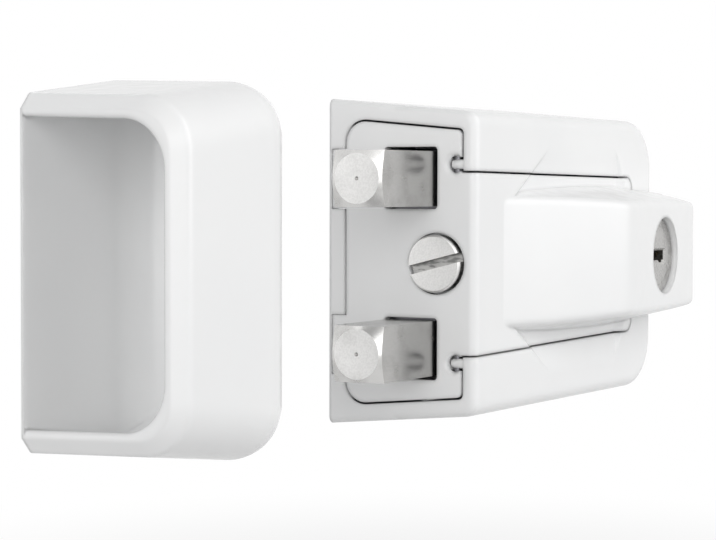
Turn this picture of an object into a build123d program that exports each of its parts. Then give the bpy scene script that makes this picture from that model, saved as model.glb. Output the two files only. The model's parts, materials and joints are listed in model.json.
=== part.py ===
from build123d import *
import os
from math import radians, sqrt, tan

# A window lock for a hinged sash: a cast case with a swing lever that carries two square bolts,
# a key cylinder in the lever's end, and a box strike. Millimetres, +X along the lever, +Y into the
# sash, +Z up. The origin is the centre of the case's back. Depths are measured from the back,
# towards the room (-Y), and reaches from the bolt face, along +X.

# Case
case_length = 101.6
case_height = 72.8
case_depth = 36.5
side_draft = 5.3
end_draft = 1.0
case_wall = 1.6
front_wall = 3.0
end_wall = 2.4
face_wall = 3.0
case_corner = 12.5
front_fillet = 3.0
face_fillet = 1.8

# Clearances
part_gap = 0.45
run_clear = 0.05
seat_clear = 0.15
cut_over = 1.0

# Faceplate of the lever
plate_thick = 3.0
plate_wall_edge = 4.34
plate_room_gap = 0.4
plate_margin = 4.35
plate_corner = 4.75
plate_room_corner = 1.2

# Hinge
pivot_reach = 1.8
pivot_from_front = 5.1
pin_radius = 1.0
pin_inner = 11.0
pin_outer = 25.5
ear_inner = 20.55
ear_thick = 2.2
ear_radius = 1.5
ear_round = 0.9
ear_ring_radius = 1.8
ear_ring_flare = 0.7
knuckle_radius = 1.8
knuckle_back = 7.0
knuckle_height = 8.6

# Lever arm
strip_from_end = 14.7
strip_half_face = 19.8
strip_half_end = 18.9
strip_corner = 3.0
strip_thick = 3.5
lever_corner = 1.8
arm_start = 14.0
arm_bend = 57.0
arm_over = 3.9
arm_bend_rise = 12.9
arm_end_drop = 3.1
arm_half_start = 14.3
arm_half_bend = 13.2
arm_half_end = 12.7
arm_draft = 14.0
arm_bend_radius = 20.0
arm_end_radius = 2.2
arm_fillet = 1.8
arm_wall = 2.5

# Finger scoops beside the lever
scoop_inner = 14.5
scoop_outer = 24.8
scoop_depth = 2.4
scoop_outer_start = 41.6
scoop_outer_from_end = 26.6
scoop_inner_from_end = 14.6
scoop_round = 3.0
scoop_end_slope = 50.0
scoop_blend = 14.0
scoop_over = 3.0

# Bolts
bolt_size = 12.0
bolt_swing_room = 7.4
bolt_pitch = 37.0
bolt_from_pivot = 10.84
bolt_turn_radius = 5.35
bolt_turn_angle = 24.0
window_clear = 0.6
window_outer_clear = 1.0
window_corner = 0.8
bolt_centre_radius = 0.45
notch_floor = 0.6
tab_gap = 0.2
tab_side_gap = 0.1

# Bolt carrier and its screw
carrier_thick = 5.0
carrier_half = 19.2
carrier_wall_side = 7.56
carrier_room_side = 6.84
carrier_lug_wall = 1.5
tenon_height = 6.0
tenon_width = 9.0
carrier_screw_from_pivot = 4.4
screw_head_radius = 6.3
screw_head_proud = 1.6
screw_recess = 1.6
screw_recess_clear = 0.45
screw_shank_radius = 4.0
screw_slot_width = 2.0
screw_slot_depth = 2.2
screw_slot_tilt = 14.0
screw_fillet = 0.5

# Base plate and its screws
base_thick = 3.0
bolt_passage = 16.0
base_corner = 3.0
sash_hole_reach = 50.0
sash_hole_pitch_x = 28.0
sash_hole_pitch_z = 26.0
sash_hole_radius = 2.6
sash_sink_radius = 4.6
post_radius = 3.2
post_first = 38.0
post_from_end = 10.0
post_from_side = 9.0
cover_screw_radius = 1.4
cover_screw_head = 2.7
cover_screw_length = 11.0
sink_angle = 90.0

# Cylinder
cylinder_from_end = 23.9
cylinder_recess = 2.0
flange_radius = 9.0
flange_clear = 0.4
flange_thick = 1.2
barrel_radius = 8.2
barrel_length = 19.9
barrel_clear = 0.8
boss_wall = 2.4
boss_length = 6.4
bible_half = 3.0
bible_reach = 14.5
bible_margin = 1.6
plug_radius = 6.5
plug_collar_radius = 7.2
plug_collar_thick = 1.2
keyway_width = 8.8
keyway_height = 2.4
keyway_ward = 1.2
keyway_flare = 0.5
keyway_depth = 17.7
pin_count = 5
pin_pitch = 3.0
chamber_radius = 1.3
tumbler_radius = 1.2
shear_clear = 0.25
driver_length = 2.4
key_pin_lengths = (2.4, 3.2, 2.7, 3.5, 2.9)
pin_cover_thick = 1.0
spring_wire = 0.25
spring_turns = 3.0
spring_sides = 4
clip_thick = 1.2
clip_radius = 11.0
clip_groove_radius = 7.6
plug_clip_thick = 0.8
plug_clip_radius = 7.9
plug_groove_radius = 5.7

# Cam and keeper
cam_thick = 2.5
cam_length = 14.0
cam_half = 4.0
cam_screw_radius = 1.9
cam_screw_head = 3.6
cam_screw_head_height = 2.2
cam_screw_head_taper = 10.0
cam_screw_length = 5.0
keeper_thick = 2.0
keeper_lip_gap = 1.0
keeper_width = 11.0
keeper_lip_inner = 10.5
keeper_wall = 16.0
keeper_foot = 10.0
rivet_radius = 1.5
rivet_head_radius = 2.7
rivet_head_height = 1.2
rivet_head_taper = 20.0
rivet_pitch = 5.6

# Strike box
strike_gap = 70.9
strike_proud = 0.5
strike_length = 40.0
strike_depth = 35.0
strike_rise = 1.0
strike_half_mouth = 32.4
strike_half_far = 37.4
strike_draft = 1.8
strike_edge_radius = 10.0
strike_far_radius = 10.0
strike_rim_bevel = 2.65
strike_rim_radius = 1.2
strike_lip_radius = 1.1
strike_wall = 4.2
strike_far_wall = 4.2
strike_back = 1.8
strike_back_draft = 2.0
pocket_radius = 9.0

# Places worked out from the sizes above
face_x = -case_length / 2
end_x = case_length / 2
pivot_x = face_x + pivot_reach
pivot_depth = case_depth - pivot_from_front
ear_root_depth = case_depth - front_wall / 2
plate_room_edge = case_depth - front_wall - plate_room_gap
knuckle_depth = case_depth - knuckle_height
strip_back = case_depth - strip_thick
tab_edge = notch_floor + tab_gap
tab_height = bolt_size + 2 * window_clear
arm_bend_depth = case_depth + arm_bend_rise
arm_end_depth = arm_bend_depth - arm_end_drop
bolt_reach = pivot_depth - bolt_swing_room
bolt_depth = pivot_depth - bolt_from_pivot
carrier_screw_depth = pivot_depth - carrier_screw_from_pivot
carrier_wall_edge = bolt_depth - carrier_wall_side
carrier_room_edge = bolt_depth + carrier_room_side
arm_end_x = end_x + arm_over
bend_x = face_x + arm_bend
cylinder_x = arm_end_x - cylinder_from_end
strip_end_x = end_x - strip_from_end
post_last = case_length - post_from_end
post_x = face_x + (post_first + post_last) / 2
post_pitch_x = post_last - post_first
post_pitch_z = case_height - 2 * post_from_side
plate_back_x = face_x + plate_thick
draft_ratio = tan(radians(side_draft))
arm_ratio = tan(radians(arm_draft))
arm_fall = (arm_bend_depth - arm_end_depth) / (arm_end_x - bend_x)
cylinder_front = arm_bend_depth - arm_fall * (cylinder_x - bend_x)
cylinder_face = cylinder_front - cylinder_recess
barrel_inner = cylinder_face - barrel_length
boss_inner = cylinder_face - boss_length
keyway_inner = cylinder_face - keyway_depth
plug_inner = barrel_inner - plug_clip_thick - seat_clear
cam_inner = plug_inner - cam_thick
keeper_lip_depth = plug_inner + keeper_lip_gap
strike_far_x = face_x - strike_gap
strike_mouth_x = strike_far_x - strike_length
sides = (1, -1)


def case_half(depth):
    """Half height of the case at a depth."""
    return case_height / 2 - depth * draft_ratio


def case_end(depth):
    """Far end of the case at a depth."""
    return end_x - depth * tan(radians(end_draft))


def rounded_case_outline(start, end, half, radius):
    """Outline of the case, square at the bolt face and rounded at the far end."""
    with Locations((start, 0)):
        Rectangle(end - start, 2 * half, align=(Align.MIN, Align.CENTER))
    fillet(vertices().group_by(Axis.X)[-1], radius)


def plate_outline(grow):
    """Outline of the faceplate in the bolt face, parallel to the case's drafted sides."""
    wall_edge = plate_wall_edge - grow
    room_edge = plate_room_edge + grow
    wall_half = case_half(wall_edge) - plate_margin + grow
    room_half = case_half(room_edge) - plate_margin + grow
    Polygon(
        (-wall_edge, -wall_half),
        (-wall_edge, wall_half),
        (-room_edge, room_half),
        (-room_edge, -room_half),
        align=None,
    )
    fillet(vertices().group_by(Axis.X)[-1], plate_corner + grow)
    fillet(vertices().group_by(Axis.X)[0], plate_room_corner)


def strip_outline(grow):
    """Outline of the lever's flush strip in the front of the case, seen from the room."""
    start_half = strip_half_face + grow
    end_half = strip_half_end + grow
    Polygon(
        (face_x - grow, -start_half),
        (face_x - grow, start_half),
        (strip_end_x + grow, end_half),
        (strip_end_x + grow, -end_half),
        align=None,
    )
    fillet(vertices().group_by(Axis.X)[-1], strip_corner + grow)


def arm_section(depth, half, inset, top):
    """Drafted section across the lever arm, with a given half height at a depth, cut off at a top."""
    front_half = half - inset
    front = depth - inset
    top_half = front_half - (top - front) * arm_ratio
    base_half = front_half + (front - strip_back) * arm_ratio
    Polygon(
        (-strip_back, -base_half),
        (-top, -top_half),
        (-top, top_half),
        (-strip_back, base_half),
        align=None,
    )


def strike_plan(start, end, inset):
    """Outline of the strike seen from the room, flaring away from its mouth."""
    start_half = strike_half_mouth - inset
    end_half = strike_half_far - inset
    Polygon(
        (start, strike_rise - start_half),
        (start, strike_rise + start_half),
        (end, strike_rise + end_half),
        (end, strike_rise - end_half),
        align=None,
    )


def strike_flanks(strike_faces):
    """Upper and lower side of the strike or of its hollow."""
    by_height = strike_faces.sort_by(Axis.Z)
    return [by_height[0], by_height[-1]]


# Outline of a finger scoop, with ends that slope inwards
with BuildPart() as scoop_outline:
    with BuildSketch(Plane.XZ.offset(case_depth)):
        Polygon(
            (face_x + arm_start, scoop_inner - scoop_depth * tan(radians(scoop_end_slope))),
            (face_x + scoop_outer_start, scoop_outer + scoop_over),
            (end_x - scoop_outer_from_end, scoop_outer + scoop_over),
            (end_x - scoop_inner_from_end, scoop_inner - scoop_depth * tan(radians(scoop_end_slope))),
            align=None,
        )
        fillet(vertices().group_by(Axis.Y)[-1], scoop_round)
    extrude(amount=-scoop_depth, taper=scoop_end_slope)
    extrude(faces().sort_by(Axis.Y)[0], amount=cut_over)

# Wedge that scoops out the front beside the lever, so that fingers get behind the arm
with BuildPart() as finger_scoop:
    with BuildSketch(Plane.YZ.offset(face_x)):
        Polygon(
            (-case_depth - cut_over, scoop_inner),
            (-case_depth - cut_over, scoop_outer + scoop_over),
            (-case_depth, scoop_outer + scoop_over),
            (-case_depth, scoop_outer),
            (-case_depth + scoop_depth, scoop_inner),
            align=None,
        )
        crease = vertices().filter_by_position(Axis.Y, scoop_outer - run_clear, scoop_outer + run_clear)
        fillet(crease, scoop_blend)
    extrude(amount=case_length)
    add(scoop_outline.part, mode=Mode.INTERSECT)
lower_scoop = finger_scoop.part.mirror(Plane.XY)

# Upper hinge ear, a rounded finger that reaches back from the front of the case
with BuildPart() as hinge_ear:
    with BuildSketch(Plane.XY.offset(ear_inner)):
        with Locations((pivot_x, -pivot_depth)):
            Circle(ear_radius)
            Rectangle(2 * ear_radius, ear_root_depth - pivot_depth, align=(Align.CENTER, Align.MAX))
    extrude(amount=ear_thick)
    ear_rims = edges().filter_by(Plane.XY)
    fillet(ear_rims.filter_by(lambda edge: edge.center().Y > -ear_root_depth + run_clear), ear_round)

# Housing: the cast case, open at the back
with BuildPart() as housing:
    for depth in (0, case_depth):
        with BuildSketch(Plane.XZ.offset(depth)):
            rounded_case_outline(face_x, case_end(depth), case_half(depth), case_corner)
    loft(ruled=True)
    front_edges = faces().sort_by(Axis.Y)[0].edges()
    fillet(front_edges.filter_by(lambda edge: edge.center().X > face_x + cut_over), front_fillet)
    face_edges = faces().sort_by(Axis.X)[0].edges().filter_by(Axis.Z)
    fillet(face_edges.sort_by(Axis.Y)[0], face_fillet)
    for depth in (0, case_depth - front_wall):
        with BuildSketch(Plane.XZ.offset(depth)):
            rounded_case_outline(
                face_x + face_wall,
                case_end(depth) - end_wall,
                case_half(depth) - case_wall,
                case_corner - end_wall,
            )
    loft(ruled=True, mode=Mode.SUBTRACT)
    with BuildSketch(Plane.YZ.offset(face_x)):
        plate_outline(part_gap)
        with Locations((-notch_floor, bolt_pitch / 2), (-notch_floor, -bolt_pitch / 2)):
            Rectangle(
                plate_wall_edge,
                tab_height + 2 * tab_side_gap,
                align=(Align.MAX, Align.CENTER),
            )
    extrude(amount=face_wall, mode=Mode.SUBTRACT)
    with BuildSketch(Plane.XZ.offset(case_depth - front_wall)):
        strip_outline(part_gap)
        with Locations((cylinder_x, 0)):
            Circle(barrel_radius + barrel_clear)
    extrude(amount=front_wall + cut_over, mode=Mode.SUBTRACT)
    add(finger_scoop.part, mode=Mode.SUBTRACT)
    add(lower_scoop, mode=Mode.SUBTRACT)
    add(hinge_ear.part)
    add(hinge_ear.part.mirror(Plane.XY))
    with Locations((pivot_x, -pivot_depth, 0)):
        Cylinder(pin_radius + run_clear, case_height / 2 + ear_inner, mode=Mode.SUBTRACT)
    with BuildSketch(Plane.XZ.offset(base_thick)):
        with Locations((post_x, 0)):
            with GridLocations(post_pitch_x, post_pitch_z, 2, 2):
                Circle(post_radius)
    extrude(amount=case_depth - front_wall - base_thick)
    with BuildSketch(Plane.XZ.offset(base_thick)):
        with Locations((post_x, 0)):
            with GridLocations(post_pitch_x, post_pitch_z, 2, 2):
                Circle(cover_screw_radius + run_clear)
    extrude(amount=cover_screw_length, mode=Mode.SUBTRACT)

# Base plate in the back of the case
with BuildPart() as base_plate:
    with BuildSketch(Plane.XZ):
        rounded_case_outline(
            face_x + face_wall + seat_clear,
            case_end(base_thick) - end_wall - seat_clear,
            case_half(base_thick) - case_wall - seat_clear,
            case_corner - end_wall - seat_clear,
        )
        fillet(vertices().group_by(Axis.X)[0], base_corner)
        with Locations((face_x, bolt_pitch / 2), (face_x, -bolt_pitch / 2)):
            Rectangle(
                bolt_passage,
                tab_height + 2 * window_clear,
                align=(Align.MIN, Align.CENTER),
                mode=Mode.SUBTRACT,
            )
    extrude(amount=base_thick)
    with Locations(Plane.XZ.offset(base_thick)):
        with Locations((face_x + sash_hole_reach, 0)):
            with GridLocations(sash_hole_pitch_x, sash_hole_pitch_z, 2, 2):
                CounterSinkHole(sash_hole_radius, sash_sink_radius, counter_sink_angle=sink_angle)
    with Locations(-Plane.XZ):
        with Locations((post_x, 0)):
            with GridLocations(post_pitch_x, post_pitch_z, 2, 2):
                CounterSinkHole(
                    cover_screw_radius + seat_clear,
                    cover_screw_head + seat_clear,
                    counter_sink_angle=sink_angle,
                )
    with BuildSketch(Plane.XZ):
        with Locations((cylinder_x, keeper_wall + (keeper_foot + keeper_thick) / 2)):
            with GridLocations(rivet_pitch, 0, 2, 1):
                Circle(rivet_radius + run_clear)
    extrude(amount=base_thick, mode=Mode.SUBTRACT)

# Countersunk screws that hold the base plate on the housing's posts
with BuildPart() as cover_screws:
    with BuildSketch(Plane.XZ):
        with Locations((post_x, 0)):
            with GridLocations(post_pitch_x, post_pitch_z, 2, 2):
                Circle(cover_screw_radius)
    extrude(amount=cover_screw_length)
    with Locations(Plane.XZ):
        with Locations((post_x, 0)):
            with GridLocations(post_pitch_x, post_pitch_z, 2, 2):
                Cone(
                    cover_screw_head,
                    cover_screw_radius,
                    (cover_screw_head - cover_screw_radius) / tan(radians(sink_angle / 2)),
                    align=(Align.CENTER, Align.CENTER, Align.MIN),
                )

# Keeper: bent bracket with a lip that the cam turns under
with BuildPart() as keeper:
    with BuildSketch(Plane.YZ.offset(cylinder_x)):
        Polygon(
            (-base_thick, keeper_wall),
            (-base_thick, keeper_wall + keeper_foot),
            (-base_thick - keeper_thick, keeper_wall + keeper_foot),
            (-base_thick - keeper_thick, keeper_wall + keeper_thick),
            (-keeper_lip_depth - keeper_thick, keeper_wall + keeper_thick),
            (-keeper_lip_depth - keeper_thick, keeper_lip_inner),
            (-keeper_lip_depth, keeper_lip_inner),
            (-keeper_lip_depth, keeper_wall),
            align=None,
        )
    extrude(amount=keeper_width / 2, both=True)
    with BuildSketch(Plane.XZ.offset(base_thick)):
        with Locations((cylinder_x, keeper_wall + (keeper_foot + keeper_thick) / 2)):
            with GridLocations(rivet_pitch, 0, 2, 1):
                Circle(rivet_radius + run_clear)
    extrude(amount=keeper_thick, mode=Mode.SUBTRACT)

# Rivets that fasten the keeper to the base plate
with BuildPart() as keeper_rivets:
    with BuildSketch(Plane.XZ):
        with Locations((cylinder_x, keeper_wall + (keeper_foot + keeper_thick) / 2)):
            with GridLocations(rivet_pitch, 0, 2, 1):
                Circle(rivet_radius)
    extrude(amount=base_thick + keeper_thick)
    with BuildSketch(Plane.XZ.offset(base_thick + keeper_thick)):
        with Locations((cylinder_x, keeper_wall + (keeper_foot + keeper_thick) / 2)):
            with GridLocations(rivet_pitch, 0, 2, 1):
                Circle(rivet_head_radius)
    extrude(amount=rivet_head_height, taper=rivet_head_taper)

# Hinge pins, one through each ear
with BuildPart() as upper_hinge_pin:
    with BuildSketch(Plane.XY.offset(pin_inner)):
        with Locations((pivot_x, -pivot_depth)):
            Circle(pin_radius)
    extrude(amount=pin_outer - pin_inner)
with BuildPart() as lower_hinge_pin:
    with BuildSketch(Plane.XY.offset(-pin_inner)):
        with Locations((pivot_x, -pivot_depth)):
            Circle(pin_radius)
    extrude(amount=pin_inner - pin_outer)

# Hollow of the strike, flared and drafted like its outside
with BuildPart() as strike_pocket:
    with BuildSketch(Plane.XZ.offset(strike_proud + strike_back)):
        strike_plan(strike_mouth_x, strike_far_x - strike_far_wall, strike_wall)
    extrude(amount=strike_depth - strike_wall - strike_back)
    draft(strike_flanks(faces()), Plane.XZ, strike_draft)
    pocket_end = Plane.YZ.offset(strike_far_x - strike_far_wall)
    draft(faces().sort_by(Axis.Y)[-1], pocket_end, strike_back_draft)
    pocket_back = faces().sort_by(Axis.Y)[-1].edges().sort_by(Axis.Z)
    fillet(
        edges().filter_by(
            lambda edge: edge.center().X > strike_mouth_x + cut_over
            and edge not in (pocket_back[0], pocket_back[-1])
        ),
        pocket_radius,
    )

# Strike box: a cast tub whose open side receives the bolts
with BuildPart() as strike_box:
    with BuildSketch(Plane.XZ.offset(strike_proud)):
        strike_plan(strike_mouth_x, strike_far_x, 0)
    extrude(amount=strike_depth)
    draft(strike_flanks(faces()), Plane.XZ, strike_draft)
    room_edges = faces().sort_by(Axis.Y)[0].edges().sort_by(Axis.Z)
    fillet([room_edges[0], room_edges[-1]], strike_edge_radius)
    far_edges = faces().sort_by(Axis.X)[-1].edges()
    fillet(far_edges.filter_by(lambda edge: edge.center().Y < -strike_proud - cut_over), strike_far_radius)
    mouth_edges = faces().sort_by(Axis.X)[0].edges()
    chamfer(mouth_edges.filter_by(lambda edge: edge.center().Y < -strike_proud - cut_over), strike_rim_bevel)
    rim_x = strike_mouth_x + strike_rim_bevel
    rim_edges = edges().filter_by(
        lambda edge: abs(edge.center().X - rim_x) < run_clear and edge.length > 2 * strike_rim_bevel
    )
    fillet(rim_edges, strike_rim_radius)
    add(strike_pocket.part, mode=Mode.SUBTRACT)
    lip_edges = faces().filter_by(Plane.YZ).sort_by(Axis.X)[0].inner_wires()[0].edges()
    lip_edges = lip_edges.filter_by(lambda edge: edge.center().Y < -strike_proud - strike_back)
    fillet(lip_edges, strike_lip_radius)

# Raised arm of the lever, before it joins the strip: its plan, trimmed by drafted flanks
with BuildPart() as lever_arm:
    with BuildSketch():
        Polygon(
            (face_x + arm_start, -strip_back),
            (face_x + arm_start, -case_depth),
            (bend_x, -arm_bend_depth),
            (arm_end_x, -arm_end_depth),
            (arm_end_x, -strip_back),
            align=None,
        )
        fillet(vertices().sort_by(Axis.Y)[0], arm_bend_radius)
        fillet(vertices().group_by(Axis.X)[-1].sort_by(Axis.Y)[0], arm_end_radius)
    extrude(amount=case_height / 2, both=True)
    for x, depth, half in (
        (face_x + arm_start, case_depth, arm_half_start),
        (bend_x, arm_bend_depth, arm_half_bend),
        (arm_end_x, arm_end_depth, arm_half_end),
    ):
        with BuildSketch(Plane.YZ.offset(x)):
            arm_section(depth, half, 0, arm_bend_depth)
    loft(mode=Mode.INTERSECT)
    fillet(
        edges().filter_by(
            lambda edge: abs(edge.center().Z) > cut_over
            and edge.center().Y < -strip_back - cut_over
            and edge.center().X > face_x + arm_start + cut_over
        ),
        arm_fillet,
    )
    with BuildSketch(Plane.XZ.offset(strip_back)):
        with Locations((strip_end_x, 0)):
            Rectangle(case_length, case_height, align=(Align.MIN, Align.CENTER))
    extrude(amount=case_depth + part_gap - strip_back, mode=Mode.SUBTRACT)

# Hollow of the lever arm
with BuildPart() as arm_hollow:
    arm_rise = (arm_bend_depth - case_depth) / (arm_bend - arm_start)
    hollow_start = face_x + arm_start + 2 * arm_wall
    for x, depth, half in (
        (hollow_start, case_depth + 2 * arm_wall * arm_rise, arm_half_start),
        (bend_x, arm_bend_depth, arm_half_bend),
        (arm_end_x - arm_wall, arm_end_depth + arm_fall * arm_wall, arm_half_end),
    ):
        with BuildSketch(Plane.YZ.offset(x)):
            arm_section(depth, half, arm_wall, depth - arm_wall)
    loft(ruled=True)

# Swing lever: faceplate, hinge knuckles and lever arm in one casting
with BuildPart() as swing_lever:
    with BuildSketch(Plane.YZ.offset(face_x)):
        plate_outline(0)
        with Locations((-tab_edge, bolt_pitch / 2), (-tab_edge, -bolt_pitch / 2)):
            Rectangle(plate_wall_edge, tab_height, align=(Align.MAX, Align.CENTER))
    extrude(amount=pivot_reach + knuckle_radius)
    room_run = plate_room_edge - pivot_depth
    room_reach = sqrt(knuckle_radius**2 - room_run**2)
    back_run = plate_thick - pivot_reach
    back_rise = sqrt(knuckle_radius**2 - back_run**2)
    with BuildSketch():
        with BuildLine():
            Polyline(
                (plate_back_x, back_rise - pivot_depth),
                (plate_back_x, 0),
                (face_x, 0),
                (face_x, -plate_room_edge),
                (pivot_x + room_reach, -plate_room_edge),
            )
            ThreePointArc(
                (pivot_x + room_reach, -plate_room_edge),
                (pivot_x + knuckle_radius, -pivot_depth),
                (plate_back_x, back_rise - pivot_depth),
            )
        make_face()
    extrude(amount=case_height / 2, both=True, mode=Mode.INTERSECT)
    with BuildSketch(Plane.XZ.offset(strip_back)):
        strip_outline(0)
    extrude(amount=case_depth - strip_back)
    with Locations((face_x, -knuckle_depth, 0)):
        Box(
            knuckle_back,
            case_depth - knuckle_depth,
            2 * strip_half_face - 2 * part_gap,
            align=(Align.MIN, Align.MAX, Align.CENTER),
        )
    corner_edge = edges().filter_by(Axis.Z).group_by(Axis.X)[0].sort_by(Axis.Y)[0]
    fillet(corner_edge, lever_corner)
    add(finger_scoop.part, mode=Mode.SUBTRACT)
    add(lower_scoop, mode=Mode.SUBTRACT)
    add(lever_arm.part)
    add(arm_hollow.part, mode=Mode.SUBTRACT)
    with BuildSketch(Plane.XZ.offset(boss_inner)):
        with Locations((cylinder_x, 0)):
            Circle(barrel_radius + boss_wall)
    extrude(amount=cylinder_face - boss_inner)
    with BuildSketch(Plane.XZ.offset(cylinder_face - flange_thick)):
        with Locations((cylinder_x, 0)):
            Circle(flange_radius + flange_clear)
    extrude(amount=case_depth, mode=Mode.SUBTRACT)
    with BuildSketch(Plane.XZ.offset(barrel_inner)):
        with Locations((cylinder_x, 0)):
            Circle(barrel_radius + seat_clear)
            Rectangle(
                bible_reach + pin_cover_thick + seat_clear,
                2 * bible_half + 2 * seat_clear,
                align=(Align.MAX, Align.CENTER),
            )
    extrude(amount=cylinder_face - flange_thick - barrel_inner, mode=Mode.SUBTRACT)
    with BuildSketch(Plane.YZ.offset(face_x)):
        for side in sides:
            with Locations((-bolt_depth, side * (bolt_pitch + window_outer_clear - window_clear) / 2)):
                RectangleRounded(
                    bolt_size + 2 * window_clear,
                    bolt_size + window_clear + window_outer_clear,
                    window_corner,
                )
    extrude(amount=plate_thick, mode=Mode.SUBTRACT)
    with BuildSketch(Plane.YZ.offset(face_x)):
        with Locations((-carrier_screw_depth, 0)):
            Circle(screw_head_radius + screw_recess_clear)
    extrude(amount=screw_recess, mode=Mode.SUBTRACT)
    with BuildSketch(Plane.YZ.offset(face_x)):
        with Locations((-carrier_screw_depth, 0)):
            Circle(screw_shank_radius + seat_clear)
    extrude(amount=2 * knuckle_back, mode=Mode.SUBTRACT)
    for side in sides:
        ear_middle = side * (ear_inner + ear_thick / 2)
        with BuildSketch(Plane.YZ.offset(face_x)):
            with Locations((-pivot_depth, ear_middle)):
                Circle(ear_ring_radius)
                Rectangle(
                    knuckle_radius + front_wall,
                    ear_thick + 2 * part_gap,
                    align=(Align.MAX, Align.CENTER),
                )
        extrude(amount=pivot_reach + knuckle_radius + part_gap, mode=Mode.SUBTRACT)
        with Locations(Plane.YZ.offset(face_x)):
            with Locations((-pivot_depth, ear_middle)):
                Cone(
                    ear_ring_radius + ear_ring_flare,
                    ear_ring_radius,
                    ear_ring_flare,
                    align=(Align.CENTER, Align.CENTER, Align.MIN),
                    mode=Mode.SUBTRACT,
                )
    with Locations((pivot_x, -pivot_depth, 0)):
        Cylinder(pin_radius + run_clear, 2 * pin_outer + 2 * part_gap, mode=Mode.SUBTRACT)
    with Locations((plate_back_x, -knuckle_depth, 0)):
        Box(
            knuckle_back,
            carrier_screw_depth + screw_shank_radius + 2 * carrier_lug_wall - knuckle_depth,
            2 * pin_inner - 2 * cut_over,
            align=(Align.MIN, Align.MAX, Align.CENTER),
            mode=Mode.SUBTRACT,
        )

# Bolt carrier: steel bar behind the faceplate
with BuildPart() as bolt_carrier:
    with BuildSketch(Plane.YZ.offset(plate_back_x)):
        Polygon(
            (-carrier_wall_edge, -carrier_half),
            (-carrier_wall_edge, carrier_half),
            (-carrier_room_edge, carrier_half),
            (-carrier_room_edge, -carrier_half),
            align=None,
        )
        with Locations((-carrier_screw_depth, 0)):
            Circle(screw_shank_radius + carrier_lug_wall)
        with Locations((-carrier_screw_depth, 0)):
            Circle(screw_shank_radius + run_clear, mode=Mode.SUBTRACT)
        for side in sides:
            tenon_middle = side * (bolt_pitch / 2 - bolt_size / 2 + tenon_height / 2)
            with Locations((-bolt_depth, tenon_middle)):
                Rectangle(
                    tenon_width + 2 * run_clear,
                    tenon_height + 2 * run_clear,
                    mode=Mode.SUBTRACT,
                )
    extrude(amount=carrier_thick)

# Upper bolt, with a turned end and a tenon in the carrier; the lower one mirrors it
bolt_end_x = face_x - bolt_reach
with BuildPart() as upper_bolt:
    with BuildSketch(Plane.YZ.offset(bolt_end_x)):
        with Locations((-bolt_depth, bolt_pitch / 2)):
            Rectangle(bolt_size, bolt_size)
    extrude(amount=bolt_reach + plate_thick)
    with Locations(Plane.YZ.offset(bolt_end_x)):
        with Locations((-bolt_depth, bolt_pitch / 2)):
            Cone(
                bolt_turn_radius,
                bolt_turn_radius + (bolt_reach + plate_thick) / tan(radians(bolt_turn_angle)),
                bolt_reach + plate_thick,
                align=(Align.CENTER, Align.CENTER, Align.MIN),
                mode=Mode.INTERSECT,
            )
            Cone(
                bolt_centre_radius,
                0,
                bolt_centre_radius,
                align=(Align.CENTER, Align.CENTER, Align.MIN),
                mode=Mode.SUBTRACT,
            )
    with BuildSketch(Plane.YZ.offset(plate_back_x)):
        with Locations((-bolt_depth, bolt_pitch / 2 - bolt_size / 2 + tenon_height / 2)):
            Rectangle(tenon_width, tenon_height)
    extrude(amount=carrier_thick)
with BuildPart() as lower_bolt:
    add(upper_bolt.part.mirror(Plane.XY))

# Slotted screw that clamps the carrier behind the faceplate
with BuildPart() as carrier_screw:
    with BuildSketch(Plane.YZ.offset(face_x - screw_head_proud)):
        with Locations((-carrier_screw_depth, 0)):
            Circle(screw_head_radius)
    extrude(amount=screw_head_proud + screw_recess)
    fillet(edges().group_by(Axis.X)[0], screw_fillet)
    with BuildSketch(Plane.YZ.offset(face_x + screw_recess)):
        with Locations((-carrier_screw_depth, 0)):
            Circle(screw_shank_radius)
    extrude(amount=plate_thick - screw_recess + carrier_thick)
    with BuildSketch(Plane.YZ.offset(face_x - screw_head_proud)):
        with Locations((-carrier_screw_depth, 0)):
            Rectangle(3 * screw_head_radius, screw_slot_width, rotation=-screw_slot_tilt)
    extrude(amount=screw_slot_depth, mode=Mode.SUBTRACT)

# Cylinder body with its pin chambers on the side towards the hinge
pin_depths = [cylinder_face - plug_collar_thick - (index + 1) * pin_pitch for index in range(pin_count)]
with BuildPart() as cylinder_body:
    with BuildSketch(Plane.XZ.offset(barrel_inner)):
        with Locations((cylinder_x, 0)):
            Circle(barrel_radius)
    extrude(amount=cylinder_face - barrel_inner)
    with BuildSketch(Plane.XZ.offset(cylinder_face - flange_thick)):
        with Locations((cylinder_x, 0)):
            Circle(flange_radius)
    extrude(amount=flange_thick)
    with BuildSketch(Plane.XZ.offset(boss_inner - clip_thick - seat_clear)):
        with Locations((cylinder_x, 0)):
            Circle(barrel_radius)
            Circle(clip_groove_radius, mode=Mode.SUBTRACT)
    extrude(amount=clip_thick + seat_clear, mode=Mode.SUBTRACT)
    with BuildSketch(Plane.XZ.offset(pin_depths[-1] - bible_margin)):
        with Locations((cylinder_x, 0)):
            Rectangle(bible_reach, 2 * bible_half, align=(Align.MAX, Align.CENTER))
    extrude(amount=pin_depths[0] - pin_depths[-1] + 2 * bible_margin)
    with BuildSketch(Plane.XZ.offset(barrel_inner)):
        with Locations((cylinder_x, 0)):
            Circle(plug_radius + run_clear)
    extrude(amount=case_depth, mode=Mode.SUBTRACT)
    with BuildSketch(Plane.XZ.offset(cylinder_face - plug_collar_thick - run_clear)):
        with Locations((cylinder_x, 0)):
            Circle(plug_collar_radius + run_clear)
    extrude(amount=case_depth, mode=Mode.SUBTRACT)
    with BuildSketch(Plane.YZ.offset(cylinder_x - bible_reach)):
        with Locations([(-depth, 0) for depth in pin_depths]):
            Circle(chamber_radius)
    extrude(amount=bible_reach - plug_radius / 2, mode=Mode.SUBTRACT)

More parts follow.
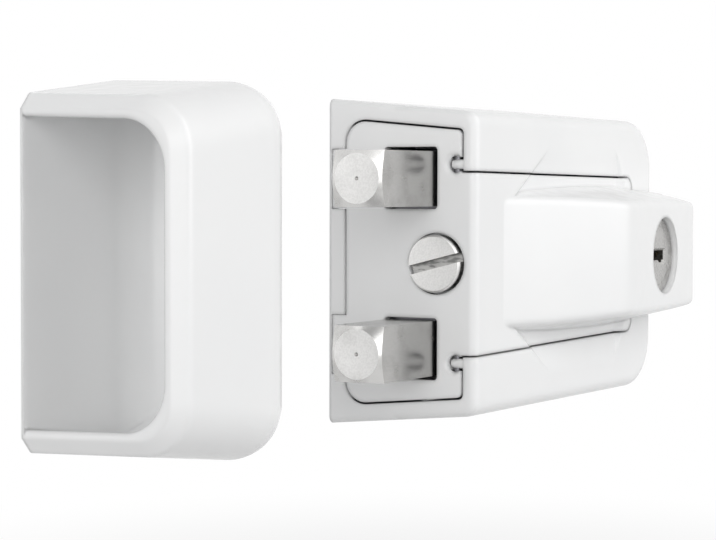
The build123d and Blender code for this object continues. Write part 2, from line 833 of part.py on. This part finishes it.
# Horseshoe clip that holds the cylinder body against the lever's boss
with BuildPart() as cylinder_clip:
    with BuildSketch(Plane.XZ.offset(boss_inner - clip_thick)):
        with Locations((cylinder_x, 0)):
            Circle(clip_radius)
            Circle(clip_groove_radius + run_clear, mode=Mode.SUBTRACT)
            Rectangle(
                2 * clip_radius,
                2 * clip_groove_radius + 2 * run_clear,
                align=(Align.MAX, Align.CENTER),
                mode=Mode.SUBTRACT,
            )
    extrude(amount=clip_thick)

# Strip that closes the pin chambers
with BuildPart() as pin_cover:
    with BuildSketch(Plane.YZ.offset(cylinder_x - bible_reach)):
        with Locations((-(pin_depths[0] + pin_depths[-1]) / 2, 0)):
            Rectangle(pin_depths[0] - pin_depths[-1] + 2 * bible_margin, 2 * bible_half)
    extrude(amount=-pin_cover_thick)

# Driver pins, just outside the shear line
with BuildPart() as driver_pins:
    with BuildSketch(Plane.YZ.offset(cylinder_x - plug_radius - shear_clear)):
        with Locations([(-depth, 0) for depth in pin_depths]):
            Circle(tumbler_radius)
    extrude(amount=-driver_length)

# Springs behind the driver pins
spring_start = cylinder_x - plug_radius - shear_clear - driver_length
spring_length = spring_start - (cylinder_x - bible_reach) - 2 * spring_wire
spring_mean = tumbler_radius - spring_wire
with BuildPart() as pin_springs:
    for depth in pin_depths:
        with BuildLine():
            coil = Helix(
                spring_length / spring_turns,
                spring_length,
                spring_mean,
                center=(spring_start - spring_wire, -depth, 0),
                direction=(-1, 0, 0),
            )
        with BuildSketch(Plane(origin=coil @ 0, z_dir=coil % 0)):
            RegularPolygon(spring_wire, spring_sides)
        sweep(path=coil, is_frenet=True)

# Plug with the key slot
with BuildPart() as cylinder_plug:
    with BuildSketch(Plane.XZ.offset(plug_inner)):
        with Locations((cylinder_x, 0)):
            Circle(plug_radius)
    extrude(amount=cylinder_face - plug_inner)
    with BuildSketch(Plane.XZ.offset(cylinder_face - plug_collar_thick)):
        with Locations((cylinder_x, 0)):
            Circle(plug_collar_radius)
    extrude(amount=plug_collar_thick)
    with BuildSketch(Plane.XZ.offset(keyway_inner)):
        with Locations((cylinder_x, 0)):
            Rectangle(keyway_width, keyway_height)
        with Locations((cylinder_x + keyway_width / 4, -keyway_height / 2)):
            Rectangle(keyway_width / 4, keyway_ward)
    extrude(amount=case_depth, mode=Mode.SUBTRACT)
    chamfer(
        faces().sort_by(Axis.Y)[0].inner_wires()[0].edges(),
        keyway_flare,
    )
    with BuildSketch(Plane.XZ.offset(plug_inner + seat_clear)):
        with Locations((cylinder_x, 0)):
            Circle(plug_radius)
            Circle(plug_groove_radius, mode=Mode.SUBTRACT)
    extrude(amount=plug_clip_thick, mode=Mode.SUBTRACT)
    with BuildSketch(Plane.XZ.offset(plug_inner)):
        with Locations((cylinder_x, 0)):
            Circle(cam_screw_radius + run_clear)
    extrude(amount=cam_screw_length - cam_thick, mode=Mode.SUBTRACT)
    with BuildSketch(Plane.YZ.offset(cylinder_x - plug_radius)):
        with Locations([(-depth, 0) for depth in pin_depths]):
            Circle(chamber_radius)
    extrude(amount=plug_radius - keyway_width / 4, mode=Mode.SUBTRACT)

# Key pins, just inside the shear line
with BuildPart() as key_pins:
    for depth, length in zip(pin_depths, key_pin_lengths):
        with BuildSketch(Plane.YZ.offset(cylinder_x - plug_radius + shear_clear)):
            with Locations((-depth, 0)):
                Circle(tumbler_radius)
        extrude(amount=length)

# Ring clip that keeps the plug in the body
with BuildPart() as plug_clip:
    with BuildSketch(Plane.XZ.offset(plug_inner + seat_clear)):
        with Locations((cylinder_x, 0)):
            Circle(plug_clip_radius)
            Circle(plug_groove_radius + run_clear, mode=Mode.SUBTRACT)
            Rectangle(
                2 * plug_clip_radius,
                plug_groove_radius,
                align=(Align.MIN, Align.CENTER),
                mode=Mode.SUBTRACT,
            )
    extrude(amount=plug_clip_thick)

# Cam that turns under the keeper's lip
with BuildPart() as lock_cam:
    with BuildSketch(Plane.XZ.offset(cam_inner)):
        with Locations((cylinder_x, 0)):
            Circle(plug_radius)
            Rectangle(cam_length - cam_half, 2 * cam_half, align=(Align.MAX, Align.CENTER))
        with Locations((cylinder_x - cam_length + cam_half, 0)):
            Circle(cam_half)
        with Locations((cylinder_x, 0)):
            Circle(cam_screw_radius + run_clear, mode=Mode.SUBTRACT)
    extrude(amount=cam_thick)

# Screw that fastens the cam
with BuildPart() as cam_screw:
    with BuildSketch(Plane.XZ.offset(cam_inner)):
        with Locations((cylinder_x, 0)):
            Circle(cam_screw_radius)
    extrude(amount=cam_screw_length)
    with BuildSketch(Plane.XZ.offset(cam_inner)):
        with Locations((cylinder_x, 0)):
            Circle(cam_screw_head)
    extrude(amount=-cam_screw_head_height, taper=cam_screw_head_taper)

pieces = {
    "housing": housing,
    "base_plate": base_plate,
    "cover_screws": cover_screws,
    "keeper": keeper,
    "keeper_rivets": keeper_rivets,
    "upper_hinge_pin": upper_hinge_pin,
    "lower_hinge_pin": lower_hinge_pin,
    "strike_box": strike_box,
    "swing_lever": swing_lever,
    "bolt_carrier": bolt_carrier,
    "upper_bolt": upper_bolt,
    "lower_bolt": lower_bolt,
    "carrier_screw": carrier_screw,
    "cylinder_body": cylinder_body,
    "cylinder_clip": cylinder_clip,
    "pin_cover": pin_cover,
    "driver_pins": driver_pins,
    "pin_springs": pin_springs,
    "cylinder_plug": cylinder_plug,
    "key_pins": key_pins,
    "plug_clip": plug_clip,
    "lock_cam": lock_cam,
    "cam_screw": cam_screw,
}
os.makedirs("parts", exist_ok=True)
for name, piece in pieces.items():
    piece.part.label = name
    export_step(piece.part, f"parts/{name}.step")
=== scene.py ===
"""Looks of the window lock: enamel, plated bolts, key cylinder, studio light and the camera."""

import json
import math

import bpy
from mathutils import Matrix, Vector


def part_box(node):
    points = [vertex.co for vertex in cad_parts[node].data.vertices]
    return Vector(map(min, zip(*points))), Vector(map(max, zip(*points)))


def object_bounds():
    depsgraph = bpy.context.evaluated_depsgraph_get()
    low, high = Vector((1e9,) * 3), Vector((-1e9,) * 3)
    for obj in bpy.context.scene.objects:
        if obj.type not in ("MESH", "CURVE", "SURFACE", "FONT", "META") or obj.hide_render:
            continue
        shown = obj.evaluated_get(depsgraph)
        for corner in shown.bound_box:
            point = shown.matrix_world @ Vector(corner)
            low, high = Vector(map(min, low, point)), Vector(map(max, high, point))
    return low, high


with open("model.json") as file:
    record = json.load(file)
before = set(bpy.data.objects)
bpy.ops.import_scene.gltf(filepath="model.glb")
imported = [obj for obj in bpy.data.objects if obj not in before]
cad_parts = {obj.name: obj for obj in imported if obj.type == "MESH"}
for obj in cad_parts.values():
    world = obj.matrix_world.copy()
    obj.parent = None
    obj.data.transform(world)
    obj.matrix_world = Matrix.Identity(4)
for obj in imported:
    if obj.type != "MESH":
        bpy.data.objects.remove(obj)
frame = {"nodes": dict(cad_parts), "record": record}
cad_low, cad_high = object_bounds()

MILLIMETRE = 0.001

# Camera, from the photograph's perspective
CAMERA_PLACE = Vector((-475.9, -249.0, 16.9)) * MILLIMETRE
CAMERA_LOOK = Vector((0.86870, 0.49387, -0.03814))
CAMERA_ROLL = math.radians(0.1)
CAMERA_LENS = 110.6
CAMERA_NEAR = 10 * MILLIMETRE
SENSOR_WIDTH = 36.0

# Studio: the floor is seen white beyond its fade, and partly white under the lock
WHITE = (1, 1, 1, 1)
FLOOR_DROP = 45 * MILLIMETRE
FLOOR_SIZE = 8.0
FLOOR_COLOUR = (0.6, 0.6, 0.6, 1)
FLOOR_ROUGHNESS = 0.9
FLOOR_LIFT = 0.7
FLOOR_FADE_START = 0.03
FLOOR_FADE_END = 0.2
WORLD_LIGHT = 0.31
BACKGROUND_LIGHT = 1.0
LAMP_SIZE = 1.2
LAMPS = {
    "front_softbox": (Vector((0.32, -1.02, 0.50)), 8.3),
    "key_softbox": (Vector((-1.10, -0.48, 0.10)), 9.2),
    "side_softbox": (Vector((-1.10, 0.45, 0.30)), 2.0),
    "back_softbox": (Vector((0.25, 1.10, 0.40)), 4.0),
}

# Distance from the sash within which the castings' insides are painted near-black as shade, and how
# softly that begins
INSIDE_DEPTH = 33.7 * MILLIMETRE
EDGE_BLEND = 0.2 * MILLIMETRE

# Depth behind the screw's head over which its slot, with its painted shade, begins
SLOT_START = 0.6 * MILLIMETRE
SLOT_END = 1.0 * MILLIMETRE

# How far the shading of the enamel's edges is rounded, and how finely that is sampled
ENAMEL_ROUND = 1.5 * MILLIMETRE
ENAMEL_ROUND_SAMPLES = 6

# Parts of a surface normal between which a finish begins: -1 faces the bolts' end or the room
TURNED_FACING = (-0.88, -0.75)
FACED_FACING = (-0.985, -0.95)
# Normal's Y between which walls within the castings go from white, facing the room, to painted shade
INSIDE_SHADE_FACING = (-0.8, -0.5)

# Parts of a noise's range that are spread out
NOISE_WIDE = (0.3, 0.7)
NOISE_MIDDLE = (0.35, 0.65)
NOISE_NARROW = (0.4, 0.6)
NOISE_UPPER = (0.45, 0.75)
SPANGLE_RANGE = (0.2, 0.8)

# Grains to the metre, how much detail they have and how they are stretched along X, Y and Z
CLOUD_GRAIN = 28
PEEL_GRAIN = 260
LINE_GRAIN = 1600
MATT_GRAIN = 2600
DULL_GRAIN = 180
MILLED_GRAIN = 1500
SPANGLE_GRAIN = 420.0
ZINC_GRAIN = 1600
GRINDING_GRAIN = 1400
NICKEL_GRAIN = 500
RING_GRAIN = 900.0
RING_WAVER = 2.0
BRASS_GRAIN = 1800
SOFT_DETAIL = 1.0
PLAIN_DETAIL = 2.0
FINE_DETAIL = 3.0
EVEN = (1, 1, 1)
ALONG_BOLT = (0.04, 1, 1)
ALONG_SLOT = (1, 0.25, 1)
ALONG_GRINDING = (1, 0.08, 1)
ROUND_PIN = (1, 0.1, 0.1)

# Heights and strengths of the relief
FINE_RELIEF = 0.01 * MILLIMETRE
COARSE_RELIEF = 0.02 * MILLIMETRE
PEEL_STRENGTH = 0.06
PLATE_STRENGTH = 0.3
ZINC_STRENGTH = 0.25
RING_STRENGTH = 0.35
LINE_HEIGHT = 0.4
GRAIN_HEIGHT = 0.5

# Shares of the first pattern where two are mixed
DRAWN_SHARE = 0.7
FACED_SHARE = 0.5
NICKEL_SHARE = 0.7

# Roughness, at the low and the high end of a pattern
ENAMEL_ROUGHNESS = (0.22, 0.27)
DRAWN_ROUGHNESS = (0.18, 0.24)
ZINC_ROUGHNESS = (0.30, 0.45)
SPRING_ROUGHNESS = (0.26, 0.42)
NICKEL_ROUGHNESS = (0.22, 0.36)
BRASS_ROUGHNESS = (0.2, 0.34)
HEAD_ROUGHNESS = 0.36
FACED_ROUGHER = 0.18
DULL_ROUGHER = 0.06

# Clear gloss of the enamel
ENAMEL_IOR = 1.5
ENAMEL_COAT = 0.2
ENAMEL_COAT_ROUGHNESS = 0.1

# Colours of the finishes
ENAMEL_WHITE = (0.89, 0.892, 0.892, 1)
ENAMEL_SHADE = (0.875, 0.878, 0.88, 1)
# Near-black painted shade for walls within the castings, seen through the gaps
INSIDE_SHADE_GREY = (0.10, 0.10, 0.105, 1)
# Plated bolts: the drawn sides' dark colour is painted shade of what they reflect, so the turned cone and
# faced end stand paler
DRAWN_SHADE_LIGHT = (0.46, 0.455, 0.445, 1)
DRAWN_SHADE_DULL = (0.35, 0.345, 0.335, 1)
TURNED_LIGHT = (0.60, 0.595, 0.585, 1)
TURNED_DULL = (0.48, 0.475, 0.465, 1)
FACED_LIGHT = (0.75, 0.745, 0.735, 1)
FACED_DULL = (0.62, 0.615, 0.605, 1)
HEAD_LIGHT = (0.69, 0.685, 0.675, 1)
HEAD_DULL = (0.57, 0.565, 0.555, 1)
# Dark tones of the screw's slot: painted shade in the recess
SLOT_SHADE_LIGHT = (0.42, 0.415, 0.405, 1)
SLOT_SHADE_DARK = (0.20, 0.20, 0.195, 1)
ZINC_LIGHT = (0.64, 0.65, 0.67, 1)
ZINC_DARK = (0.46, 0.47, 0.50, 1)
# Blackened steel, dark also as painted shade for the carrier seen through the case's gaps
SPRING_LIGHT = (0.20, 0.20, 0.21, 1)
SPRING_DARK = (0.11, 0.11, 0.12, 1)
NICKEL_LIGHT = (0.54, 0.535, 0.525, 1)
NICKEL_DARK = (0.38, 0.375, 0.365, 1)
BRASS_LIGHT = (0.80, 0.62, 0.30, 1)
BRASS_DARK = (0.60, 0.43, 0.17, 1)


class Wire:
    """A node's output, on which Python's + and * add Math nodes."""

    def __init__(self, finish, socket):
        self.finish = finish
        self.socket = socket

    def maths(self, operation, other):
        return self.finish.node("ShaderNodeMath", {"operation": operation}, {0: self, 1: other})

    def __add__(self, other):
        return self.maths("ADD", other)

    __radd__ = __add__

    def __mul__(self, other):
        return self.maths("MULTIPLY", other)

    __rmul__ = __mul__


class Finish:
    """A node tree that finishes are drawn in."""

    def __init__(self, tree):
        self.tree = tree
        self.tree.nodes.clear()

    def node(self, kind, settings=None, inputs=None, output=0):
        """Adds a node with its settings and its sockets' values or links, and gives one output."""
        made = self.tree.nodes.new(kind)
        for name, value in (settings or {}).items():
            setattr(made, name, value)
        for name, value in (inputs or {}).items():
            if isinstance(value, Wire):
                self.tree.links.new(value.socket, made.inputs[name])
            else:
                made.inputs[name].default_value = value
        return Wire(self, made.outputs[output]) if output is not None else None

    def coordinates(self, kind):
        """Object coordinates or normals."""
        return self.node("ShaderNodeTexCoord", output=kind)

    def part(self, vector, axis):
        """One part of a vector."""
        return self.node("ShaderNodeSeparateXYZ", inputs={"Vector": vector}, output=axis)

    def place(self, scale):
        """Object coordinates, stretched by a scale along X, Y and Z."""
        return self.node(
            "ShaderNodeMapping", inputs={"Vector": self.coordinates("Object"), "Scale": scale}
        )

    def grain(self, scale, detail=PLAIN_DETAIL, stretch=EVEN):
        """Noise whose grains number so many to the metre."""
        return self.node(
            "ShaderNodeTexNoise",
            inputs={"Vector": self.place(stretch), "Scale": scale, "Detail": detail},
        )

    def band(self, value, low, high, to_low=0.0, to_high=1.0):
        """A value carried smoothly from one range to another."""
        return self.node(
            "ShaderNodeMapRange",
            {"interpolation_type": "SMOOTHSTEP"},
            {"Value": value, "From Min": low, "From Max": high, "To Min": to_low, "To Max": to_high},
        )

    def blend(self, amount, first, second):
        """A mix of two colours; a colour Mix takes them at its sockets 6 and 7 and gives output 2."""
        return self.node("ShaderNodeMix", {"data_type": "RGBA"}, {0: amount, 6: first, 7: second}, 2)

    def bump(self, height, distance, strength, **under):
        """A bumped normal, on another normal where one is given."""
        inputs = {"Height": height, "Distance": distance, "Strength": strength, **under}
        return self.node("ShaderNodeBump", inputs=inputs)

    def seen_ray(self):
        """1 on rays by which the background is seen: straight, in a mirror or through something clear."""
        kinds = ("Is Camera Ray", "Is Glossy Ray", "Is Transmission Ray")
        straight, mirrored, clear = [self.node("ShaderNodeLightPath", output=kind) for kind in kinds]
        return straight + mirrored + clear

    def seen_white(self, amount, shader, kind):
        """A shader that such rays see as white light, by an amount."""
        white = self.node(kind, inputs={"Color": WHITE, "Strength": BACKGROUND_LIGHT})
        return self.node("ShaderNodeMixShader", inputs={0: amount * self.seen_ray(), 1: shader, 2: white})

    def principled(self, **sockets):
        """A Principled shader; a socket's name has _ for its spaces."""
        inputs = {name.replace("_", " "): value for name, value in sockets.items()}
        return self.node("ShaderNodeBsdfPrincipled", inputs=inputs, output="BSDF")

    def surface(self, **sockets):
        """Ends a material with a Principled shader."""
        self.node("ShaderNodeOutputMaterial", inputs={"Surface": self.principled(**sockets)}, output=None)


def new_finish(name):
    material = bpy.data.materials.new(name)
    material.use_nodes = True
    return material, Finish(material.node_tree)


def box_centre(node):
    low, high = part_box(node)
    return (low + high) / 2


def mixed(first, second, share):
    """Two patterns added, with a share of the first."""
    return first * share + second * (1 - share)


def enamel_white(f):
    """White of the enamel, with faint clouds."""
    clouds = f.band(f.grain(CLOUD_GRAIN, SOFT_DETAIL), *NOISE_MIDDLE)
    return f.blend(clouds, ENAMEL_SHADE, ENAMEL_WHITE)


def enamel_coat(f, colour):
    """Glossy baked enamel with a faint orange peel, whose shading rounds every edge."""
    peel = f.grain(PEEL_GRAIN, SOFT_DETAIL)
    rounded = f.node("ShaderNodeBevel", {"samples": ENAMEL_ROUND_SAMPLES}, {"Radius": ENAMEL_ROUND})
    f.surface(
        Base_Color=colour,
        Roughness=f.band(peel, *NOISE_WIDE, *ENAMEL_ROUGHNESS),
        IOR=ENAMEL_IOR,
        Coat_Weight=ENAMEL_COAT,
        Coat_Roughness=ENAMEL_COAT_ROUGHNESS,
        Normal=f.bump(peel, FINE_RELIEF, PEEL_STRENGTH, Normal=rounded),
    )


def white_enamel():
    """Enamel all over, as on the strike."""
    material, f = new_finish("white_enamel")
    enamel_coat(f, enamel_white(f))
    return material


def enamel_with_inside_shade(node):
    """Enamel outside and on walls that face the room, and near-black painted shade on the other walls
    within.
    """
    material, f = new_finish(node + "_enamel")
    coordinates = f.coordinates("Object")
    facing = f.coordinates("Normal")
    outward = f.node(
        "ShaderNodeVectorMath", {"operation": "SUBTRACT"}, {0: coordinates, 1: box_centre(node)}
    )
    turned_out = f.node(
        "ShaderNodeVectorMath", {"operation": "DOT_PRODUCT"}, {0: outward, 1: facing}, "Value"
    )
    behind_front = f.band(f.part(coordinates, "Y"), -INSIDE_DEPTH, EDGE_BLEND - INSIDE_DEPTH)
    shade_facing = f.band(f.part(facing, "Y"), *INSIDE_SHADE_FACING)
    # Painted shade: walls that turn inward, lie behind the front and don't face the room are coloured
    # near-black
    painted_inside_shade = f.band(turned_out, -EDGE_BLEND, 0, 1, 0) * behind_front * shade_facing
    enamel_coat(f, f.blend(painted_inside_shade, enamel_white(f), INSIDE_SHADE_GREY))
    return material


def matt_grain(f):
    """Fine grain of a matt plated face."""
    return f.band(f.grain(MATT_GRAIN), *NOISE_MIDDLE)


def dull_clouds(f):
    """Dull clouds in the plating."""
    return f.band(f.grain(DULL_GRAIN, FINE_DETAIL), *NOISE_UPPER)


def plated_steel():
    """Plated bar: drawn sides with fine lines, darkened as painted shade of what they reflect, a turned
    cone, and a paler faced end with a matt grain.
    """
    material, f = new_finish("plated_steel")
    ahead = f.part(f.coordinates("Normal"), "X")
    turned = f.band(ahead, *TURNED_FACING, 1, 0)
    faced = f.band(ahead, *FACED_FACING, 1, 0)
    lines = f.grain(LINE_GRAIN, stretch=ALONG_BOLT)
    grain = matt_grain(f)
    dull = dull_clouds(f)
    # Painted shade: the drawn sides get the darkest colour, by their facing
    drawn_side_shade = f.blend(mixed(dull, grain, DRAWN_SHARE), DRAWN_SHADE_LIGHT, DRAWN_SHADE_DULL)
    turned_cone = f.blend(dull, TURNED_LIGHT, TURNED_DULL)
    faced_end = f.blend(mixed(dull, grain, FACED_SHARE), FACED_LIGHT, FACED_DULL)
    drawn_roughness = f.band(lines, *NOISE_WIDE, *DRAWN_ROUGHNESS)
    relief = lines * LINE_HEIGHT + grain * faced * GRAIN_HEIGHT
    f.surface(
        Base_Color=f.blend(faced, f.blend(turned, drawn_side_shade, turned_cone), faced_end),
        Metallic=1.0,
        Roughness=drawn_roughness + faced * FACED_ROUGHER + dull * DULL_ROUGHER,
        Normal=f.bump(relief, FINE_RELIEF, PLATE_STRENGTH),
    )
    return material


def slotted_steel(node):
    """Plated screw: a matt head, and a slot milled across it and coloured darker as painted shade."""
    material, f = new_finish("slotted_steel")
    low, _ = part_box(node)
    slot_and_shade = f.band(f.part(f.coordinates("Object"), "X"), low.x + SLOT_START, low.x + SLOT_END)
    grain = matt_grain(f)
    dull = dull_clouds(f)
    milled = f.band(f.grain(MILLED_GRAIN, FINE_DETAIL, ALONG_SLOT), *NOISE_NARROW)
    head = f.blend(mixed(dull, grain, FACED_SHARE), HEAD_LIGHT, HEAD_DULL)
    f.surface(
        # Painted shade: the slot below the head gets the dark colours
        Base_Color=f.blend(slot_and_shade, head, f.blend(milled, SLOT_SHADE_DARK, SLOT_SHADE_LIGHT)),
        Metallic=1.0,
        Roughness=HEAD_ROUGHNESS + dull * DULL_ROUGHER,
        Normal=f.bump(grain * GRAIN_HEIGHT + milled * slot_and_shade, FINE_RELIEF, PLATE_STRENGTH),
    )
    return material


def zinc_steel():
    """Zinc-plated pressings: spangled greys."""
    material, f = new_finish("zinc_steel")
    spangle = f.node(
        "ShaderNodeTexVoronoi", inputs={"Vector": f.place(EVEN), "Scale": SPANGLE_GRAIN}, output="Color"
    )
    tone = f.node("ShaderNodeRGBToBW", inputs={"Color": spangle})
    f.surface(
        Base_Color=f.blend(tone, ZINC_DARK, ZINC_LIGHT),
        Metallic=1.0,
        Roughness=f.band(tone, *SPANGLE_RANGE, *ZINC_ROUGHNESS),
        Normal=f.bump(f.grain(ZINC_GRAIN), COARSE_RELIEF, ZINC_STRENGTH),
    )
    return material


def spring_steel():
    """Blackened steel of the carrier, hinge pins, clips and springs, with fine grinding marks; its dark
    colour is also painted shade where the carrier shows through the case's gaps.
    """
    material, f = new_finish("spring_steel")
    marks = f.grain(GRINDING_GRAIN, stretch=ALONG_GRINDING)
    f.surface(
        Base_Color=f.blend(marks, SPRING_DARK, SPRING_LIGHT),
        Metallic=1.0,
        Roughness=f.band(marks, *NOISE_WIDE, *SPRING_ROUGHNESS),
        Normal=f.bump(marks, COARSE_RELIEF, PLATE_STRENGTH),
    )
    return material


def cylinder_metal():
    """Nickel-plated cylinder: faced on a lathe, so its marks run round the key slot."""
    material, f = new_finish("cylinder_metal")
    local = f.node(
        "ShaderNodeMapping",
        inputs={"Vector": f.coordinates("Object"), "Location": -box_centre("cylinder_plug")},
    )
    rings = f.node(
        "ShaderNodeTexWave",
        {"wave_type": "RINGS", "rings_direction": "Y"},
        {"Vector": local, "Scale": RING_GRAIN, "Distortion": RING_WAVER, "Detail": PLAIN_DETAIL},
        "Fac",
    )
    cloud = f.grain(NICKEL_GRAIN, FINE_DETAIL)
    f.surface(
        Base_Color=f.blend(mixed(cloud, rings, NICKEL_SHARE), NICKEL_DARK, NICKEL_LIGHT),
        Metallic=1.0,
        Roughness=f.band(cloud, *NOISE_WIDE, *NICKEL_ROUGHNESS),
        Normal=f.bump(rings, FINE_RELIEF, RING_STRENGTH),
    )
    return material


def pin_brass():
    """Turned brass of the tumbler pins and their cover."""
    material, f = new_finish("pin_brass")
    turning = f.grain(BRASS_GRAIN, stretch=ROUND_PIN)
    f.surface(
        Base_Color=f.blend(turning, BRASS_DARK, BRASS_LIGHT),
        Metallic=1.0,
        Roughness=f.band(turning, *NOISE_WIDE, *BRASS_ROUGHNESS),
        Normal=f.bump(turning, FINE_RELIEF, PLATE_STRENGTH),
    )
    return material


def dress_nodes():
    """Gives each CAD node the finish of its slot in the record, and three nodes one of their own."""
    finishes = {
        "white_enamel": white_enamel(),
        "plated_steel": plated_steel(),
        "zinc_steel": zinc_steel(),
        "spring_steel": spring_steel(),
        "cylinder_metal": cylinder_metal(),
        "pin_brass": pin_brass(),
    }
    for subpart in frame["record"]["subparts"]:
        node = frame["nodes"][subpart["node"]]
        node.data.materials.clear()
        node.data.materials.append(finishes[subpart["material_slot"]])
    for name in ("housing", "swing_lever"):
        frame["nodes"][name].data.materials[0] = enamel_with_inside_shade(name)
    frame["nodes"]["carrier_screw"].data.materials[0] = slotted_steel("carrier_screw")


def make_floor():
    """A wide pale floor below the lock, seen white, that keeps the lock's shadow."""
    bpy.ops.object.select_all(action="DESELECT")
    bpy.ops.mesh.primitive_plane_add(size=FLOOR_SIZE, location=(0, 0, cad_low.z - FLOOR_DROP))
    floor = bpy.context.object
    floor.name = "floor"
    bpy.ops.object.transform_apply(location=True, rotation=True, scale=True)
    material, f = new_finish("pale_floor")
    away = f.node("ShaderNodeVectorMath", {"operation": "LENGTH"}, {0: f.coordinates("Object")}, "Value")
    lift = f.band(away, FLOOR_FADE_START, FLOOR_FADE_END, FLOOR_LIFT, 1.0)
    pale = f.principled(Base_Color=FLOOR_COLOUR, Roughness=FLOOR_ROUGHNESS)
    shader = f.seen_white(lift, pale, "ShaderNodeEmission")
    f.node("ShaderNodeOutputMaterial", inputs={"Surface": shader}, output=None)
    floor.data.materials.append(material)


def make_world():
    """Soft light from all round, and a white background for camera, mirror and clear rays."""
    world = bpy.data.worlds.new("studio")
    world.use_nodes = True
    bpy.context.scene.world = world
    f = Finish(world.node_tree)
    soft = f.node("ShaderNodeBackground", inputs={"Color": WHITE, "Strength": WORLD_LIGHT})
    shader = f.seen_white(1.0, soft, "ShaderNodeBackground")
    f.node("ShaderNodeOutputWorld", inputs={"Surface": shader}, output=None)


def make_lamp(name, place, power):
    """A square softbox that faces the lock."""
    data = bpy.data.lights.new(name, "AREA")
    data.size = LAMP_SIZE
    data.energy = power
    lamp = bpy.data.objects.new(name, data)
    bpy.context.collection.objects.link(lamp)
    lamp.location = place
    lamp.rotation_euler = (-place).to_track_quat("-Z", "Y").to_euler()


def make_camera():
    """The photograph's camera."""
    data = bpy.data.cameras.new("camera")
    data.lens = CAMERA_LENS
    data.sensor_width = SENSOR_WIDTH
    data.clip_start = CAMERA_NEAR
    camera = bpy.data.objects.new("camera", data)
    bpy.context.collection.objects.link(camera)
    camera.location = CAMERA_PLACE
    turn = CAMERA_LOOK.to_track_quat("-Z", "Y").to_matrix().to_4x4()
    camera.rotation_euler = (turn @ Matrix.Rotation(CAMERA_ROLL, 4, "Z")).to_euler()
    bpy.context.scene.camera = camera


dress_nodes()
make_floor()
make_world()
for lamp_name, (lamp_place, lamp_power) in LAMPS.items():
    make_lamp(lamp_name, lamp_place, lamp_power)
make_camera()
bpy.context.scene.view_settings.view_transform = "Standard"
